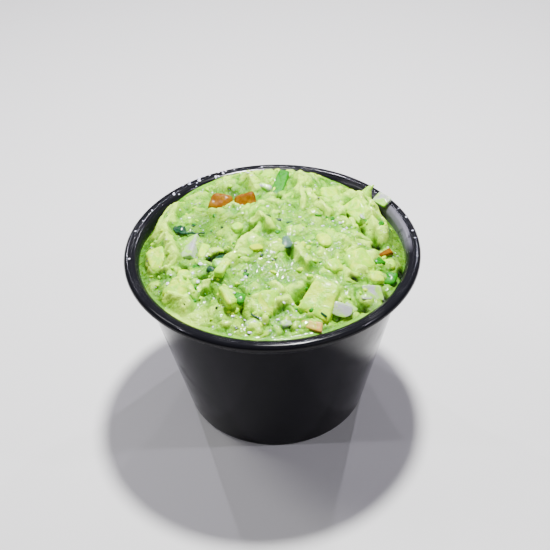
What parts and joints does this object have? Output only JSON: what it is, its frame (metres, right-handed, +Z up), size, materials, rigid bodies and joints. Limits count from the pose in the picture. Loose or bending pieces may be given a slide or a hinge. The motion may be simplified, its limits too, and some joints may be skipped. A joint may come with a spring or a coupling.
{
  "type": "guacamole",
  "caption": "Chunky guacamole heaped in a small black plastic portion cup, with diced avocado, onion, tomato, green pepper and a chopped leaf.",
  "frame": {"origin": "centre of the cup's base, on the surface that it stands on", "axes": "+Z up out of the cup's mouth, -Y towards the side that faces the viewer, +X to the viewer's right"},
  "size_m": [0.074, 0.074, 0.0547],
  "materials": {
    "cup": "glossy black",
    "mash": "moist pale green mash",
    "avocado": "moist pale yellow-green flesh",
    "onion": "wet translucent white",
    "tomato": "wet orange-red flesh",
    "pink_tomato": "wet pale pink flesh under a film of mash",
    "pepper": "wet bright green",
    "leaf": "wet dark green"
  },
  "bodies": {
    "root": {"cup": "cup", "guacamole": "mash", "avocado_big": "avocado", "avocado_front": "avocado", "avocado_left": "avocado", "avocado_low_left": "avocado", "avocado_right": "avocado", "avocado_back_right": "avocado", "onion_left": "onion", "onion_right": "onion", "onion_front": "onion", "onion_rim": "onion", "tomato_back_left": "tomato", "tomato_back_right": "tomato", "tomato_front": "pink_tomato", "tomato_right": "tomato", "pepper_back": "pepper", "leaf_left": "leaf"}
  },
  "joints": []
}
